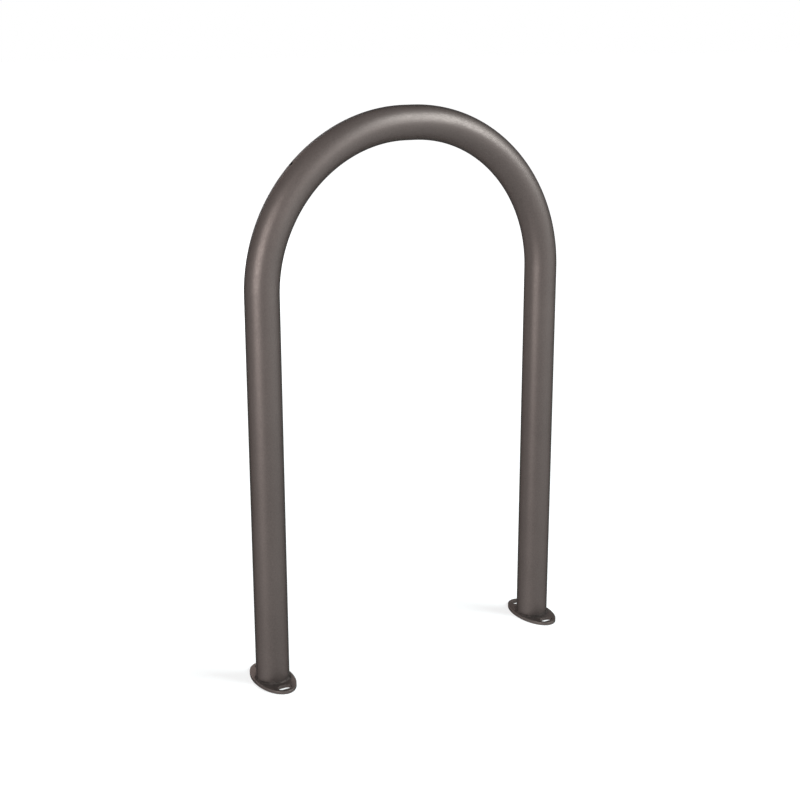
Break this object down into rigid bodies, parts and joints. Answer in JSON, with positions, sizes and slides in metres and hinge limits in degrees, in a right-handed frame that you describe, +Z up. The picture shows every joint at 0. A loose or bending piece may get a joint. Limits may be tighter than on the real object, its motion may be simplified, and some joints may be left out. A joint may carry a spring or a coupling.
{
  "type": "hoop bike rack",
  "caption": "Hoop bike rack of bent steel pipe, with straight legs, a half-round crown and oval slotted foot plates that bolt to paving.",
  "frame": {"origin": "on the ground under the crown, midway between the legs, at the level of the plates' undersides", "axes": "+Z up the legs, +X from the left leg to the right leg, +Y through the hoop to the back"},
  "size_m": [0.515, 0.1048, 0.81],
  "materials": {
    "pipe_coat": "brown-grey fine-textured powder coat, satin",
    "plate_coat": "brown-grey fine-textured powder coat, satin",
    "weld_coat": "brown-grey fine-textured powder coat, satin"
  },
  "bodies": {
    "root": {"hoop_tube": "pipe_coat", "left_foot_plate": "plate_coat", "right_foot_plate": "plate_coat", "left_foot_weld": "weld_coat", "right_foot_weld": "weld_coat"}
  },
  "joints": []
}
